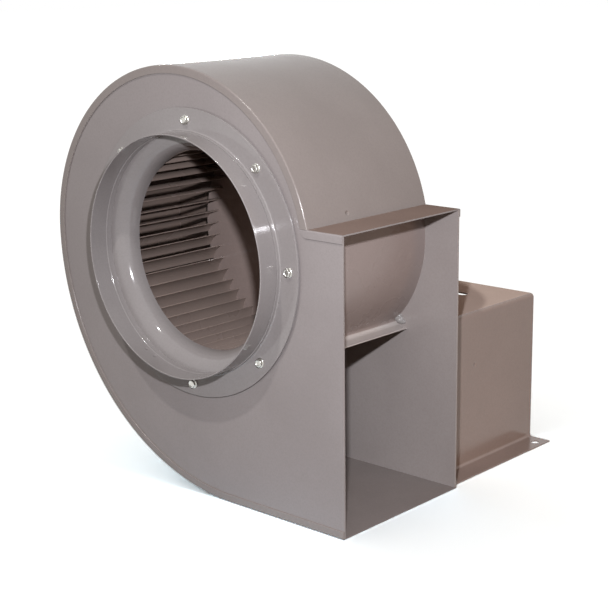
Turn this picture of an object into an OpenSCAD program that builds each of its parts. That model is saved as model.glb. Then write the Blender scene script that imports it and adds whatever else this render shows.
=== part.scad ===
// Centrifugal blower with a forward-curved wheel, shown without a motor.
// X points out of the outlet, Y runs along the shaft away from the inlet, Z is up.
// The origin is on the floor, at the centre of the pedestal's four floor holes.

/* [Housing] */
// Width over the two side plates
housing_w = 192; // [170:1:240]
// Height of the outlet above the floor
outlet_h = 317.5; // [300:0.5:335]
// Distance from the shaft axis to the outlet plane
outlet_x = 214; // [195:1:260]
// Height of the shaft axis above the floor
axis_h = 271.5; // [266:0.5:276]
// Radius of the upper scroll arc
upper_r = 198; // [192:1:210]
// How far the upper arc's centre lies behind the axis
upper_shift = 25; // [18:1:32]
// Radius of the lower scroll arc, which runs down to the floor
lower_r = 274; // [268:1:280]
// Sheet thickness of the side plates
plate_t = 1.9; // [1.2:0.1:3]
// Sheet thickness of the wrap, the top plate and the cutoff
wrap_t = 1.5; // [1:0.1:2.5]
// Width of the wrap's edge that is folded over each side plate
seam_w = 9; // [6:0.5:14]
// Radius of the hole that the shaft passes through
shaft_hole_r = 22; // [18:1:28]

/* [Cutoff] */
// Radius of the curved cutoff panel
cutoff_r = 137; // [132:0.5:142]
// How far the cutoff arc's centre lies ahead of the axis
cutoff_x = 32.5; // [28:0.5:36]
// Height of the cutoff arc's centre above the floor
cutoff_z = 279.5; // [274:0.5:284]
// Angle below the horizontal at which the panel turns into its lip
cutoff_turn = 43.5; // [35:0.5:50]
// Inside radius of the bend at the lip
cutoff_bend_r = 5; // [3:0.5:8]
// Flat length of the lip
cutoff_lip_l = 10; // [6:0.5:16]
// How far the lip droops below the horizontal
cutoff_droop = 9; // [4:1:14]

/* [Inlet] */
// Radius of the throat of the inlet bell
throat_r = 110; // [104:0.5:111]
// Radius of the bell's rounded mouth
mouth_r = 21; // [18:0.5:25]
// Sheet thickness of the bell
bell_t = 1.5; // [1:0.1:2]
// Straight length at the throat
throat_l = 4; // [2:0.5:6]
// Radius of the bell's flat rim
bell_rim_r = 155.5; // [152:0.5:160]
// Outer radius of the flange ring
flange_r = 157.5; // [152:0.5:162]
// Sheet thickness of the flange ring
flange_t = 1.9; // [1.2:0.1:3]
// Outer radius of the duct spigot
spigot_r = 132; // [131.5:0.25:134]
// Sheet thickness of the spigot
spigot_t = 1.5; // [1:0.1:2]
// How far the spigot stands out of the side plate
spigot_l = 31; // [20:1:60]
// Height of the flange ring's neck round the spigot
neck_h = 4; // [2:0.5:8]
// Radius of the circle of inlet screws
screw_circle_r = 144.5; // [143:0.5:147]
// Number of inlet screws
screw_count = 8; // [6:1:12]
// Radius of the hole in the inlet side plate
inlet_hole_r = 137.5; // [136:0.25:139]

/* [Wheel] */
// Outer radius of the wheel
wheel_r = 135; // [130:0.5:136]
// Width over the front ring and the back plate
wheel_w = 136; // [110:1:137]
// Distance from the face of the inlet side plate to the wheel
wheel_front = 21; // [20:0.5:22]
// Number of blades
blade_count = 50; // [36:1:56]
// Radius of the blades' inner edges
blade_in_r = 114; // [113:0.5:117]
// Sheet thickness of a blade
blade_t = 0.9; // [0.6:0.05:1.2]
// Angle of a blade to the wheel's turning direction at its inner edge
blade_in_angle = 85; // [78:1:90]
// The same angle at its tip
blade_out_angle = 35; // [30:1:42]
// Sheet thickness of the front ring
ring_t = 1.5; // [1:0.1:2.5]
// Thickness of the back plate
back_t = 2; // [1.5:0.1:3]

/* [Shaft and hub] */
// Shaft diameter at the wheel and at the drive end
shaft_d = 15.875; // [15:0.125:16.5]
// Shaft diameter in the bearings
journal_d = 17; // [16.8:0.1:17.6]
// Distance from the pedestal's centre to the free end of the shaft
shaft_end = 98; // [92:1:105]
// Key width and height
key_w = 4.76; // [4:0.02:5]
// Outer radius of the hub's barrel
hub_r = 22; // [19:0.5:26]
// Outer radius of the hub's flange
hub_flange_r = 42; // [38:0.5:55]
// Thickness of the hub's flange
hub_flange_t = 6; // [4:0.5:8]
// Length of the hub behind the back plate
hub_l = 30; // [24:0.5:31]

/* [Bearing block] */
// Outer radius of the block's barrel
barrel_r = 30; // [28:0.5:34]
// Length of the barrel
barrel_l = 108; // [100:1:116]
// Outside diameter of a ball bearing
bearing_d = 35; // [34:0.5:36]
// Width of a ball bearing
bearing_w = 10; // [9:0.5:12]
// Diameter of a ball
ball_d = 4.76; // [4.5:0.02:5.2]
// Number of balls in a bearing
ball_count = 10; // [7:1:11]
// Spacing of the foot bolts across the shaft
foot_x = 124; // [110:1:140]
// Spacing of the foot bolts along the shaft
foot_y = 76.2; // [70:0.2:80]
// Thickness of the foot
foot_t = 12; // [9:0.5:16]

/* [Pedestal] */
// Length of the pedestal along the shaft
pedestal_l = 202; // [190:1:240]
// Width over the pedestal's two walls
platform_w = 359; // [330:1:400]
// Width over its two floor flanges
base_w = 416; // [400:1:460]
// How far the platform lies below the shaft axis
platform_drop = 88.9; // [80:0.1:100]
// Sheet thickness of the pedestal
pedestal_t = 2; // [1.5:0.1:3]
// Outside radius of the pedestal's bends
bend_r = 5; // [4:0.5:8]
// Spacing of the floor holes across the shaft
base_hole_x = 394; // [380:1:398]
// Spacing of the floor holes along the shaft
base_hole_y = 170; // [150:1:176]
// Diameter of the floor holes
base_hole_d = 10.3; // [8:0.1:12]
// Width of the platform's cross slots
slot_w = 12; // [10:0.5:14]
// Distance from the axis to the outer end of a slot
slot_out = 121; // [110:1:130]
// Distance from the axis to the inner end of a slot
slot_in = 48; // [40:1:50]
// Distance from the pedestal's centre to the middle of the bearing block
block_y = 7; // [4:0.5:10]

/* [Hidden] */

$fn = 96;
over = 1;
seat_gap = 0.1;
running_gap = 0.05;
enamel = [0.55, 0.52, 0.50];
wheel_grey = [0.46, 0.41, 0.37];
zinc = [0.80, 0.80, 0.78];
steel = [0.62, 0.62, 0.62];
iron = [0.36, 0.37, 0.38];
rubber_black = [0.10, 0.10, 0.10];

// Places along the shaft
back_y = -pedestal_l / 2;
front_y = back_y - housing_w;
wheel_y = front_y + wheel_front;
blades_y = wheel_y + ring_t;
back_plate_y = wheel_y + wheel_w - back_t;
hub_y = wheel_y + wheel_w;

// Scroll layout
arc_h = lower_r;
lower_x = lower_r - upper_r - upper_shift;

module along_y(y0, len) {
    translate([0, y0 + len, 0]) rotate([90, 0, 0]) linear_extrude(len) children();
}

module turned(y0) {
    translate([0, y0, axis_h]) rotate([-90, 0, 0]) rotate_extrude() children();
}

module from_axis() {
    translate([0, 0, axis_h]) children();
}

module ring_2d(outer_r, inner_r) {
    difference() {
        circle(outer_r);
        circle(inner_r);
    }
}

// A fan-shaped piece of the plane between two angles, well beyond radius r
module sector_2d(r, a0, a1) {
    fan = [for (k = [0:4]) let (a = a0 + (a1 - a0) * k / 4) [2 * r * cos(a), 2 * r * sin(a)]];
    polygon(concat([[0, 0]], fan));
}

// A spherical cap of radius r and height h that stands on the plane z = 0
module dome(r, h) {
    ball_r = (r * r + h * h) / (2 * h);
    intersection() {
        translate([0, 0, h - ball_r]) sphere(ball_r);
        cylinder(h = h, r = r);
    }
}

// The side plates' outline, drawn in all round by inset and cut off at x = reach
module scroll_area(inset, reach) {
    intersection() {
        translate([-upper_shift, arc_h]) circle(upper_r - inset);
        translate([-2 * upper_r, arc_h]) square([4 * upper_r, 2 * upper_r]);
    }
    intersection() {
        translate([lower_x, arc_h]) circle(lower_r - inset);
        translate([lower_x - 2 * lower_r, 0]) square([2 * lower_r, arc_h]);
    }
    translate([lower_x, inset]) square([reach - lower_x, outlet_h - 2 * inset]);
}

// Where the upper arc, drawn in by inset, reaches the height z at the outlet side
function arc_x(inset, z) = -upper_shift + sqrt(pow(upper_r - inset, 2) - pow(z - arc_h, 2));

// A strip of the given thickness that follows the scroll from the top plate round to the outlet
module wrap_strip(thick) {
    intersection() {
        translate([-upper_shift, arc_h]) ring_2d(upper_r, upper_r - thick);
        union() {
            translate([-2 * upper_r, arc_h]) square([2 * upper_r, 2 * upper_r]);
            translate([0, outlet_h]) square([2 * upper_r, 2 * upper_r]);
        }
    }
    intersection() {
        translate([lower_x, arc_h]) ring_2d(lower_r, lower_r - thick);
        translate([lower_x - 2 * lower_r, 0]) square([2 * lower_r, arc_h]);
    }
    translate([lower_x, 0]) square([outlet_x - lower_x, thick]);
}

// Housing
inlet_screw_r = 2.4;
screw_clear = 0.3;

module inlet_screw_places() {
    for (k = [0:screw_count - 1])
        from_axis() rotate([0, k * 360 / screw_count, 0]) translate([0, 0, screw_circle_r]) children();
}

module inlet_screw_holes() {
    inlet_screw_places() translate([0, front_y - mouth_r, 0]) rotate([-90, 0, 0])
        cylinder(h = 2 * mouth_r, r = inlet_screw_r + screw_clear);
}

module side_plate(y0, hole_r) {
    along_y(y0, plate_t) difference() {
        scroll_area(wrap_t + seat_gap, outlet_x);
        translate([0, axis_h]) circle(hole_r);
    }
}

module inlet_side_plate() {
    color(enamel) difference() {
        side_plate(front_y, inlet_hole_r);
        inlet_screw_holes();
    }
}

module drive_side_plate() {
    color(enamel) side_plate(back_y - plate_t, shaft_hole_r);
}

// The spot weld that shows as a dimple beside the top plate
dimple_r = 2.6;
dimple_deep = 0.5;
wrap_weld_angle = 15;
wrap_weld_in = 63;

module dimple() {
    ball_r = (dimple_r * dimple_r + dimple_deep * dimple_deep) / (2 * dimple_deep);
    translate([0, 0, ball_r - dimple_deep]) sphere(ball_r);
}

module scroll_wrap() {
    color(enamel) difference() {
        union() {
            along_y(front_y - wrap_t, housing_w + 2 * wrap_t) wrap_strip(wrap_t);
            along_y(front_y - wrap_t, wrap_t) wrap_strip(seam_w);
            along_y(back_y, wrap_t) wrap_strip(seam_w);
        }
        translate([-upper_shift, front_y + wrap_weld_in, arc_h]) rotate([0, 90 - wrap_weld_angle, 0])
            translate([0, 0, upper_r]) dimple();
    }
}

// Where the cutoff panel meets the underside of the top plate
cutoff_top_angle = asin((outlet_h - wrap_t - seat_gap - cutoff_z) / cutoff_r);
cutoff_top_x = cutoff_x + cutoff_r * cos(cutoff_top_angle);

module top_strip(x0, thick) {
    translate([x0, outlet_h - thick]) square([outlet_x - x0, thick]);
}

// The top plate's folded edge, rounded off where the scroll's folded edge runs into it
module top_seam() {
    seam_x = arc_x(seam_w, outlet_h);
    top_strip(seam_x + seam_w, seam_w);
    translate([seam_x + seam_w, outlet_h]) intersection() {
        circle(seam_w);
        translate([-seam_w, -seam_w]) square(seam_w);
    }
}

module outlet_top_plate() {
    plate_end_x = arc_x(wrap_t + seat_gap, outlet_h - wrap_t) + seat_gap;
    color(enamel) union() {
        along_y(front_y - wrap_t, housing_w + 2 * wrap_t) top_strip(plate_end_x, wrap_t);
        along_y(front_y + plate_t + seat_gap, housing_w - 2 * plate_t - 2 * seat_gap)
            top_strip(cutoff_top_x - seam_w / 2, wrap_t);
        along_y(front_y - wrap_t, wrap_t) top_seam();
        along_y(back_y, wrap_t) top_seam();
    }
}

// The panel, its tight bend and its lip, seen along the shaft
module cutoff_section() {
    bend_c = cutoff_r + cutoff_bend_r;
    bend_end = 270 - cutoff_droop;
    translate([cutoff_x, cutoff_z]) {
        intersection() {
            ring_2d(cutoff_r, cutoff_r - wrap_t);
            sector_2d(cutoff_r, -cutoff_turn, cutoff_top_angle);
        }
        translate([bend_c * cos(cutoff_turn), -bend_c * sin(cutoff_turn)]) {
            intersection() {
                ring_2d(cutoff_bend_r + wrap_t, cutoff_bend_r);
                sector_2d(cutoff_bend_r + wrap_t, 180 - cutoff_turn, bend_end);
            }
            rotate(-cutoff_droop) translate([0, -cutoff_bend_r - wrap_t]) square([cutoff_lip_l, wrap_t]);
        }
    }
}

module cutoff_plate() {
    inner_y = front_y + plate_t + seat_gap;
    color(enamel) along_y(inner_y, housing_w - 2 * plate_t - 2 * seat_gap) cutoff_section();
}

// Inlet
module inlet_bell() {
    rim_in_r = throat_r + mouth_r;
    centre_y = mouth_r - bell_t;
    color(enamel) difference() {
        turned(front_y) {
            translate([rim_in_r, -bell_t]) square([bell_rim_r - rim_in_r, bell_t]);
            translate([rim_in_r, centre_y]) intersection() {
                ring_2d(mouth_r, mouth_r - bell_t);
                translate([-mouth_r, -mouth_r]) square([mouth_r, mouth_r]);
            }
            translate([throat_r, centre_y]) square([bell_t, throat_l]);
        }
        inlet_screw_holes();
    }
}

neck_t = 1.5;
spigot_joggle = 0.6;

module inlet_flange_ring() {
    face_y = bell_t + flange_t;
    neck_r = spigot_r - spigot_joggle + seat_gap;
    color(enamel) difference() {
        turned(front_y) {
            translate([neck_r, -face_y]) square([flange_r - neck_r, flange_t]);
            translate([neck_r, -face_y - neck_h]) square([neck_t, neck_h + flange_t]);
            difference() {
                translate([neck_r, -face_y - neck_t]) square([2 * neck_t, 2 * neck_t]);
                translate([neck_r + 2 * neck_t, -face_y - neck_t]) circle(neck_t);
                translate([neck_r, -bell_t]) square([2 * neck_t, 2 * neck_t]);
            }
        }
        inlet_screw_holes();
    }
}

// The collar is joggled in by a small step where it sits in the flange ring's neck
module inlet_spigot() {
    in_r = spigot_r - spigot_t;
    step_y = bell_t + flange_t + neck_h + seat_gap;
    color(enamel) turned(front_y) {
        translate([in_r, -spigot_l]) square([spigot_t, spigot_l - step_y]);
        translate([in_r - spigot_joggle, -step_y - over]) square([spigot_t, step_y + over - bell_t]);
    }
}

// A thread-forming screw with a hexagon head and a fixed washer
screw_washer_r = 5.2;
screw_washer_t = 0.9;
screw_hex_af = 8;
screw_head_h = 3.9;
screw_dish_h = 0.6;
screw_reach = 7;

module hexagon(across, h) {
    cylinder(h = h, r = across / sqrt(3), $fn = 6);
}

module hex_screw() {
    cylinder(h = screw_washer_t, r = screw_washer_r);
    difference() {
        hexagon(screw_hex_af, screw_head_h);
        translate([0, 0, screw_head_h - screw_dish_h]) cylinder(h = over, r = screw_hex_af / 3);
    }
    shank_l = bell_t + flange_t + screw_reach;
    translate([0, 0, -shank_l]) cylinder(h = shank_l, r = inlet_screw_r);
}

module inlet_screws() {
    color(zinc) inlet_screw_places() translate([0, front_y - bell_t - flange_t, 0]) rotate([90, 0, 0])
        hex_screw();
}

// Wheel
blade_rim = 1;
tip_r = wheel_r - blade_rim;
bow_r = (tip_r * tip_r - blade_in_r * blade_in_r)
    / (2 * (tip_r * cos(blade_out_angle) - blade_in_r * cos(blade_in_angle)));
bow_c = sqrt(blade_in_r * blade_in_r + bow_r * bow_r - 2 * blade_in_r * bow_r * cos(blade_in_angle));
bow_lead = acos((blade_in_r * blade_in_r + bow_c * bow_c - bow_r * bow_r) / (2 * blade_in_r * bow_c));
tab_in_share = 0.25;
tab_out_share = 0.80;
tab_h = 1;
slot_gap = 0.12;

// Blade sections at every place round the wheel, between two radii, thickened by extra on each side
module blade_sections(in_r, out_r, extra) {
    for (k = [0:blade_count - 1]) rotate(k * 360 / blade_count) intersection() {
        rotate(bow_lead) translate([bow_c, 0])
            ring_2d(bow_r + blade_t / 2 + extra, bow_r - blade_t / 2 - extra);
        ring_2d(out_r, in_r);
        sector_2d(wheel_r, -bow_lead, bow_lead);
    }
}

function tab_r(share) = blade_in_r + share * (tip_r - blade_in_r);

module tab_slots() {
    translate([0, axis_h])
        blade_sections(tab_r(tab_in_share) - slot_gap, tab_r(tab_out_share) + slot_gap, slot_gap);
}

module wheel_blades() {
    color(wheel_grey) union() {
        along_y(blades_y, back_plate_y - blades_y) translate([0, axis_h])
            blade_sections(blade_in_r, tip_r, 0);
        along_y(wheel_y - tab_h, wheel_w + 2 * tab_h) translate([0, axis_h])
            blade_sections(tab_r(tab_in_share), tab_r(tab_out_share), 0);
    }
}

ring_lip = 0.5;

module wheel_front_ring() {
    color(wheel_grey) along_y(wheel_y, ring_t) difference() {
        translate([0, axis_h]) ring_2d(wheel_r, blade_in_r - ring_lip);
        tab_slots();
    }
}

pilot_share = 0.75;
pilot_r = pilot_share * hub_r;
rivet_r = 3;
rivet_head_r = 5.5;
rivet_head_h = 2.4;
rivet_count = 6;
rivet_circle_r = (hub_r + hub_flange_r) / 2;

module rivet_places() {
    for (k = [0:rivet_count - 1])
        from_axis() rotate([0, (k + 0.5) * 360 / rivet_count, 0]) translate([0, 0, rivet_circle_r])
            children();
}

module rivet_holes() {
    rivet_places() translate([0, back_plate_y - over, 0]) rotate([-90, 0, 0])
        cylinder(h = back_t + hub_flange_t + 2 * over, r = rivet_r + seat_gap);
}

module wheel_back_plate() {
    color(wheel_grey) difference() {
        along_y(back_plate_y, back_t) difference() {
            translate([0, axis_h]) ring_2d(wheel_r, pilot_r + seat_gap);
            tab_slots();
        }
        rivet_holes();
    }
}

key_seat_in = key_w / 2;
set_screw_r = 3;
set_screw_share = 0.6;
hub_bevel = 1.5;
set_screw_y = hub_y + hub_flange_t + set_screw_share * (hub_l - hub_flange_t);
shaft_r = shaft_d / 2;
key_low = shaft_r - key_seat_in;

module key_slot(y0, len, low, high) {
    wide = key_w + 2 * seat_gap;
    translate([-wide / 2, y0, axis_h + low]) cube([wide, len, high - low]);
}

module set_screw_axes() {
    for (turn = [0, 90]) translate([0, set_screw_y, axis_h]) rotate([0, turn, 0]) children();
}

module wheel_hub() {
    color(steel) difference() {
        turned(hub_y) {
            translate([0, -back_t]) square([pilot_r, back_t]);
            square([hub_flange_r, hub_flange_t]);
            square([hub_r, hub_l - hub_bevel]);
            square([hub_r - hub_bevel, hub_l]);
        }
        turned(hub_y) translate([0, -back_t - over])
            square([shaft_r + running_gap, hub_l + back_t + 2 * over]);
        key_slot(hub_y - back_t - over, hub_l + back_t + 2 * over, 0, key_low + key_w + seat_gap);
        rivet_holes();
        set_screw_axes() cylinder(h = hub_r + over, r = set_screw_r + seat_gap);
    }
}

module hub_rivets() {
    color(zinc) rivet_places() {
        translate([0, back_plate_y, 0]) rotate([-90, 0, 0])
            cylinder(h = back_t + hub_flange_t, r = rivet_r);
        translate([0, back_plate_y, 0]) rotate([90, 0, 0]) dome(rivet_head_r, rivet_head_h);
        translate([0, hub_y + hub_flange_t, 0]) rotate([-90, 0, 0]) dome(rivet_head_r, rivet_head_h);
    }
}

set_screw_socket_r = 1.8;

module set_screw(start) {
    difference() {
        translate([0, 0, start]) cylinder(h = hub_r - start, r = set_screw_r);
        translate([0, 0, hub_r - set_screw_r])
            cylinder(h = set_screw_r + over, r = set_screw_socket_r, $fn = 6);
    }
}

module hub_set_screws() {
    color(steel) translate([0, set_screw_y, axis_h]) {
        set_screw(key_low + key_w + seat_gap);
        rotate([0, 90, 0]) set_screw(shaft_r + seat_gap);
    }
}

// Shaft
shaft_nose = 3;
shaft_bevel = 1;
shaft_start = back_plate_y - shaft_nose;
shoulder_past_cap = 1;
hub_key_in = 3;
key_seat_l = 22;
clip_t = 1;
clip_wide = 2;
clip_groove = 0.5;

// Bearings
journal_r = journal_d / 2;
pitch_r = (bearing_d / 2 + journal_r) / 2;
groove_r = ball_d / 2 + seat_gap;
race_gap_share = 0.36;
land_in_r = pitch_r - race_gap_share * ball_d;
land_out_r = pitch_r + race_gap_share * ball_d;
cap_spigot_h = 1.5;
seat_deep = cap_spigot_h + bearing_w;
barrel_y0 = block_y - barrel_l / 2;
barrel_y1 = block_y + barrel_l / 2;
front_bearing_y = barrel_y0 + cap_spigot_h + bearing_w / 2;
rear_bearing_y = barrel_y1 - cap_spigot_h - bearing_w / 2;

// Middles of the retaining rings: both sides of the front bearing, outer side of the rear one
clip_step = bearing_w / 2 + clip_t / 2 + seat_gap;
clip_places = [front_bearing_y - clip_step, front_bearing_y + clip_step, rear_bearing_y - clip_step];

// The shaft's outline has a thicker journal between the two bearing caps
module shaft_section() {
    journal_y0 = barrel_y0 - cap_t - shoulder_past_cap;
    journal_y1 = barrel_y1 + cap_t + shoulder_past_cap;
    polygon([
        [0, shaft_start],
        [shaft_r - shaft_bevel, shaft_start],
        [shaft_r, shaft_start + shaft_bevel],
        [shaft_r, journal_y0],
        [journal_r, journal_y0],
        [journal_r, journal_y1],
        [shaft_r, journal_y1],
        [shaft_r, shaft_end - shaft_bevel],
        [shaft_r - shaft_bevel, shaft_end],
        [0, shaft_end]
    ]);
}

module drive_shaft() {
    seat_low = key_low - seat_gap;
    hub_seat_l = hub_l - 2 * hub_key_in + 2 * seat_gap;
    color(steel) difference() {
        turned(0) shaft_section();
        key_slot(hub_y + hub_key_in - seat_gap, hub_seat_l, seat_low, 2 * shaft_r);
        key_slot(shaft_end - key_seat_l, key_seat_l + over, seat_low, 2 * shaft_r);
        for (y = clip_places) turned(y - clip_t / 2 - running_gap)
            translate([journal_r - clip_groove, 0]) square([over, clip_t + 2 * running_gap]);
    }
}

module hub_key() {
    color(steel) translate([-key_w / 2, hub_y + hub_key_in, axis_h + key_low])
        cube([key_w, hub_l - 2 * hub_key_in, key_w]);
}

clip_open = 50;

module retaining_rings() {
    clip_r = journal_r + clip_wide;
    color(steel) for (y = clip_places) along_y(y - clip_t / 2, clip_t) translate([0, axis_h]) difference() {
        ring_2d(clip_r, journal_r - clip_groove + running_gap);
        sector_2d(clip_r, 90 - clip_open, 90 + clip_open);
    }
}

module inner_race(y) {
    color(steel) turned(y) difference() {
        translate([journal_r + running_gap / 2, -bearing_w / 2])
            square([land_in_r - journal_r - running_gap / 2, bearing_w]);
        translate([pitch_r, 0]) circle(groove_r);
    }
}

module outer_race(y) {
    color(steel) turned(y) difference() {
        translate([land_out_r, -bearing_w / 2])
            square([bearing_d / 2 - running_gap - land_out_r, bearing_w]);
        translate([pitch_r, 0]) circle(groove_r);
    }
}

module ball_places(y) {
    for (k = [0:ball_count - 1])
        translate([0, y, axis_h]) rotate([0, k * 360 / ball_count, 0]) translate([0, 0, pitch_r])
            children();
}

module bearing_balls(y) {
    color(zinc) ball_places(y) sphere(ball_d / 2);
}

cage_gap = 0.15;
cage_rail = 0.8;
cage_share = 0.45;

module bearing_cage(y) {
    half_t = cage_share * (land_out_r - pitch_r);
    half_w = ball_d / 2 + cage_gap + cage_rail;
    color(steel) difference() {
        turned(y) translate([pitch_r - half_t, -half_w]) square([2 * half_t, 2 * half_w]);
        ball_places(y) sphere(ball_d / 2 + cage_gap);
    }
}

// Bearing block
foot_margin = 14;
foot_corner_r = 8;
foot_w = foot_x + 2 * foot_margin;
foot_l = foot_y + 2 * foot_margin;
platform_h = axis_h - platform_drop;
web_t = 14;
rib_t = 9;
rib_in = 4;
rib_foot_share = 0.62;
rib_top_share = 0.90;
foot_bolt_r = 3.97;
foot_clear = 0.4;
core_r = pitch_r;
cap_screw_r = 2;
cap_screw_circle_r = (bearing_d / 2 + barrel_r) / 2;
cap_screw_l = 14;
cap_screw_count = 4;

module rounded_2d(w, l, r) {
    square([w - 2 * r, l], center = true);
    square([w, l - 2 * r], center = true);
    for (sx = [-1, 1], sy = [-1, 1]) translate([sx * (w / 2 - r), sy * (l / 2 - r)]) circle(r);
}

module foot_bolt_places() {
    for (sx = [-1, 1], sy = [-1, 1])
        translate([sx * foot_x / 2, block_y + sy * foot_y / 2, 0]) children();
}

module cap_screw_places(y) {
    for (k = [0:cap_screw_count - 1])
        translate([0, y, axis_h]) rotate([0, 45 + k * 360 / cap_screw_count, 0])
            translate([0, 0, cap_screw_circle_r]) children();
}

module rib_2d() {
    polygon([
        [-rib_foot_share * foot_w / 2, platform_h + foot_t / 2],
        [rib_foot_share * foot_w / 2, platform_h + foot_t / 2],
        [rib_top_share * barrel_r, axis_h],
        [-rib_top_share * barrel_r, axis_h]
    ]);
}

module bearing_block() {
    color(iron) difference() {
        union() {
            translate([0, block_y, platform_h]) linear_extrude(foot_t)
                rounded_2d(foot_w, foot_l, foot_corner_r);
            along_y(barrel_y0, barrel_l) translate([0, axis_h]) circle(barrel_r);
            translate([-web_t / 2, block_y - foot_l / 2, platform_h])
                cube([web_t, foot_l, platform_drop]);
            for (y = [block_y - foot_l / 2 + rib_in, block_y + foot_l / 2 - rib_in - rib_t])
                along_y(y, rib_t) rib_2d();
        }
        along_y(barrel_y0 - over, barrel_l + 2 * over) translate([0, axis_h]) circle(core_r);
        for (y = [barrel_y0 - over, barrel_y1 - seat_deep])
            along_y(y, seat_deep + over) translate([0, axis_h]) circle(bearing_d / 2);
        foot_bolt_places() translate([0, 0, platform_h - over])
            cylinder(h = foot_t + 2 * over, r = foot_bolt_r + foot_clear);
        cap_screw_places(barrel_y0) rotate([-90, 0, 0])
            cylinder(h = cap_screw_l, r = cap_screw_r + running_gap);
        cap_screw_places(barrel_y1) rotate([90, 0, 0])
            cylinder(h = cap_screw_l, r = cap_screw_r + running_gap);
    }
}

cap_t = 6;
cap_rim = 1;
seal_t = 4;
seal_r = 13;
cap_bore_gap = 1;

// A bearing cap in its own frame: the block's face is the plane y = 0 and the cap lies beyond it
module cap_section() {
    difference() {
        union() {
            square([barrel_r - cap_rim, cap_t]);
            translate([0, -cap_spigot_h]) square([bearing_d / 2 - seat_gap, cap_spigot_h + over]);
        }
        translate([0, -cap_spigot_h - over])
            square([journal_r + cap_bore_gap, cap_t + cap_spigot_h + 2 * over]);
        translate([0, cap_t - seal_t]) square([seal_r + running_gap, seal_t + over]);
        translate([0, -cap_spigot_h - over]) square([land_out_r, cap_spigot_h + over]);
    }
}

module bearing_cap(y, way) {
    color(iron) difference() {
        translate([0, y, axis_h]) rotate([-90 * way, 0, 0]) rotate_extrude() cap_section();
        cap_screw_places(y) rotate([-90 * way, 0, 0])
            cylinder(h = cap_t + over, r = cap_screw_r + screw_clear);
    }
}

module shaft_seal(y, way) {
    color(rubber_black) translate([0, y, axis_h]) rotate([-90 * way, 0, 0]) rotate_extrude()
        translate([journal_r + running_gap, cap_t - seal_t])
            square([seal_r - journal_r - running_gap, seal_t]);
}

cap_head_r = 3.5;
cap_head_h = 4;
cap_socket_r = 1.7;
cap_screw_short = 1;

module cap_screw() {
    cylinder(h = cap_head_h, r = cap_head_r);
    translate([0, 0, -cap_t - cap_screw_l + cap_screw_short])
        cylinder(h = cap_t + cap_screw_l - cap_screw_short, r = cap_screw_r);
}

module cap_screws() {
    color(steel) difference() {
        union() {
            cap_screw_places(barrel_y0 - cap_t) rotate([90, 0, 0]) cap_screw();
            cap_screw_places(barrel_y1 + cap_t) rotate([-90, 0, 0]) cap_screw();
        }
        cap_screw_places(barrel_y0 - cap_t) rotate([90, 0, 0]) translate([0, 0, cap_head_h / 2])
            cylinder(h = cap_head_h, r = cap_socket_r, $fn = 6);
        cap_screw_places(barrel_y1 + cap_t) rotate([-90, 0, 0]) translate([0, 0, cap_head_h / 2])
            cylinder(h = cap_head_h, r = cap_socket_r, $fn = 6);
    }
}

washer_r = 11;
washer_t = 1.6;
bolt_af = 12.7;
bolt_head_h = 5.3;
nut_h = 6.8;
bolt_past_nut = 2;
grip = 2 * washer_t + foot_t + pedestal_t;

module block_bolts() {
    top = platform_h + foot_t + washer_t;
    color(zinc) foot_bolt_places() {
        translate([0, 0, top]) hexagon(bolt_af, bolt_head_h);
        translate([0, 0, top - grip - nut_h - bolt_past_nut])
            cylinder(h = grip + nut_h + bolt_past_nut, r = foot_bolt_r);
    }
}

module washer() {
    linear_extrude(washer_t) ring_2d(washer_r, foot_bolt_r + seat_gap);
}

module block_washers() {
    color(zinc) foot_bolt_places() {
        translate([0, 0, platform_h + foot_t]) washer();
        translate([0, 0, platform_h - pedestal_t - washer_t]) washer();
    }
}

module block_nuts() {
    color(zinc) foot_bolt_places() translate([0, 0, platform_h - pedestal_t - washer_t - nut_h]) difference() {
        hexagon(bolt_af, nut_h);
        translate([0, 0, -over]) cylinder(h = nut_h + 2 * over, r = foot_bolt_r + running_gap);
    }
}

// Pedestal, with its front edge notched round the wrap's folded seam
front_flange_w = 22;
front_flange_low = 24;
front_flange_high = 160;
wall_weld_y = -19;
wall_weld_z = 120;

// One bend of the pedestal's sheet: a quarter ring about the given centre
module bend_2d(x, z, quarter) {
    translate([x, z]) intersection() {
        ring_2d(bend_r, bend_r - pedestal_t);
        rotate(quarter * 90) square([bend_r, bend_r]);
    }
}

module hat_half_2d() {
    wall_x = platform_w / 2;
    turn_x = wall_x - pedestal_t + bend_r;
    translate([0, platform_h - pedestal_t]) square([wall_x - bend_r, pedestal_t]);
    bend_2d(wall_x - bend_r, platform_h - bend_r, 0);
    translate([wall_x - pedestal_t, bend_r]) square([pedestal_t, platform_h - 2 * bend_r]);
    bend_2d(turn_x, bend_r, 2);
    translate([turn_x, 0]) square([base_w / 2 - turn_x, pedestal_t]);
}

module slot_2d() {
    slot_r = slot_w / 2;
    translate([slot_in + slot_r, 0]) circle(slot_r);
    translate([slot_out - slot_r, 0]) circle(slot_r);
    translate([slot_in + slot_r, -slot_r]) square([slot_out - slot_in - slot_w, slot_w]);
}

module both_sides() {
    for (side = [0, 1]) mirror([side, 0, 0]) children();
}

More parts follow.
